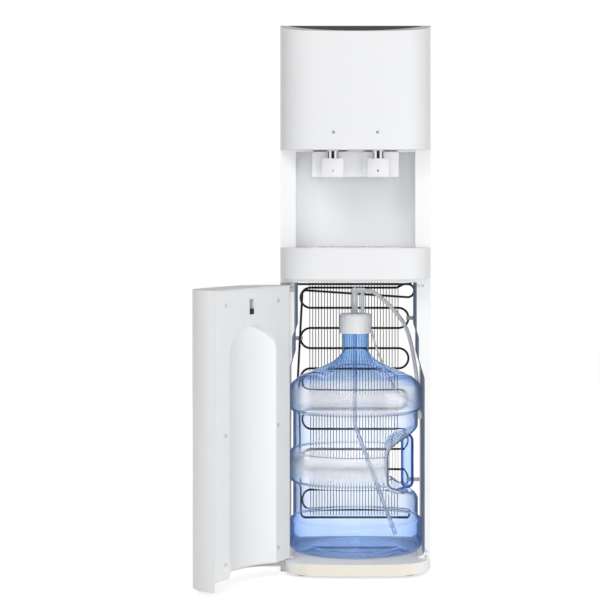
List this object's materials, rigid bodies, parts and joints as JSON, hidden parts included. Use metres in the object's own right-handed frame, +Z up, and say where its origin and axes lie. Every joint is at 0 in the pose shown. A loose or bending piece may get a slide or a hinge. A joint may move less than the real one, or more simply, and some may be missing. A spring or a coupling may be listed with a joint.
{
  "type": "bottom load water cooler",
  "caption": "Floor-standing water cooler: hot and cold taps in a niche over a lower compartment where an upright bottle stands behind a hinged door.",
  "frame": {"origin": "on the floor at the centre of the four levelling feet", "axes": "+Z up, -Y is the front with the taps and the door, +X is to the right seen from the front"},
  "size_m": [0.4584, 0.5487, 1.092],
  "materials": {
    "warm_white": "satin",
    "blue_bottle": "clear",
    "zinc": "satin",
    "clear_plastic": "translucent",
    "black_plastic": "satin",
    "foam": "matt",
    "silicone": "translucent",
    "white_gloss": "gloss",
    "green_plastic": "gloss",
    "stainless": "satin",
    "chrome": "polished",
    "black_steel": "satin",
    "black_rubber": "matt",
    "white_satin": "satin",
    "copper": "satin",
    "red_plastic": "gloss",
    "lamp_red": "clear",
    "white_paint": "satin",
    "dark_gloss": "gloss"
  },
  "bodies": {
    "cabinet": {"base_tray": "warm_white", "bottle": "blue_bottle", "bottle_grip": "blue_bottle", "bottom_hinge": "zinc", "cap_fitting": "clear_plastic", "coil_clips": "black_plastic", "cold_insulation": "foam", "cold_line": "silicone", "cold_tank": "stainless", "cold_tap_body": "chrome", "compressor": "black_steel", "compressor_mounts": "black_rubber", "condenser_tube": "black_steel", "condenser_wires": "black_steel", "control_box": "white_satin", "dip_pipe": "clear_plastic", "drain_stub": "white_satin", "feed_line": "silicone", "filter_drier": "copper", "hose_clip": "white_satin", "hot_insulation": "foam", "hot_line": "silicone", "hot_tank": "stainless", "hot_tap_body": "chrome", "indicator_lamps": "lamp_red", "levelling_feet": "black_rubber", "lower_fascia": "white_gloss", "mid_deck": "white_satin", "niche_liner": "white_satin", "power_inlet": "black_rubber", "probe_cap": "white_gloss", "rear_cover": "zinc", "sensor_cable": "silicone", "side_liner_left": "white_satin", "side_liner_right": "white_satin", "side_panel_left": "white_paint", "side_panel_right": "white_paint", "switch_frames": "black_plastic", "tank_shelf": "zinc", "terminal_cover": "black_plastic", "top_cover": "white_gloss", "top_hinge": "zinc", "top_insert": "dark_gloss", "upper_fascia": "white_gloss", "water_hose": "silicone", "water_pump": "black_plastic"},
    "door": {"door_shell": "white_gloss", "door_liner": "white_satin", "strike_plate": "zinc", "catch_block": "black_plastic", "door_screws": "zinc", "door_bumper": "white_satin", "hinge_bushes": "white_satin"},
    "hot_paddle": {"hot_paddle": "white_gloss"},
    "cold_paddle": {"cold_paddle": "white_gloss"},
    "drip_tray": {"drip_tray": "white_satin"},
    "drip_grille": {"drip_grille": "white_satin"},
    "hot_switch": {"hot_switch": "red_plastic"},
    "cold_switch": {"cold_switch": "green_plastic"},
    "drain_plug": {"drain_plug": "white_satin"}
  },
  "joints": [
    {"name": "door_hinge", "type": "hinge", "parent": "cabinet", "child": "door", "pos_m": [-0.143, -0.107, 0.3], "axis": [0, 0, 1], "range_deg": [-4, 116]},
    {"name": "hot_paddle_press", "type": "hinge", "parent": "cabinet", "child": "hot_paddle", "pos_m": [-0.045, -0.118, 0.818], "axis": [1, 0, 0], "range_deg": [0, 12], "stiffness_Nm_per_rad": 0.3, "springref_deg": -2.86},
    {"name": "cold_paddle_press", "type": "hinge", "parent": "cabinet", "child": "cold_paddle", "pos_m": [0.045, -0.118, 0.818], "axis": [1, 0, 0], "range_deg": [0, 12], "stiffness_Nm_per_rad": 0.3, "springref_deg": -2.86},
    {"name": "drip_tray_lift", "type": "slide", "parent": "cabinet", "child": "drip_tray", "axis": [0, 0, 1], "range_m": [0, 0.06]},
    {"name": "drip_grille_lift", "type": "slide", "parent": "drip_tray", "child": "drip_grille", "axis": [0, 0, 1], "range_m": [0, 0.03]},
    {"name": "hot_switch_rock", "type": "hinge", "parent": "cabinet", "child": "hot_switch", "pos_m": [-0.06, 0.152, 0.7], "axis": [1, 0, 0], "range_deg": [-5, 5]},
    {"name": "cold_switch_rock", "type": "hinge", "parent": "cabinet", "child": "cold_switch", "pos_m": [0.06, 0.152, 0.7], "axis": [1, 0, 0], "range_deg": [-5, 5]},
    {"name": "drain_plug_turn", "type": "hinge", "parent": "cabinet", "child": "drain_plug", "pos_m": [-0.08, 0.16, 0.64], "axis": [0, 1, 0], "range_deg": [0, 720]}
  ]
}
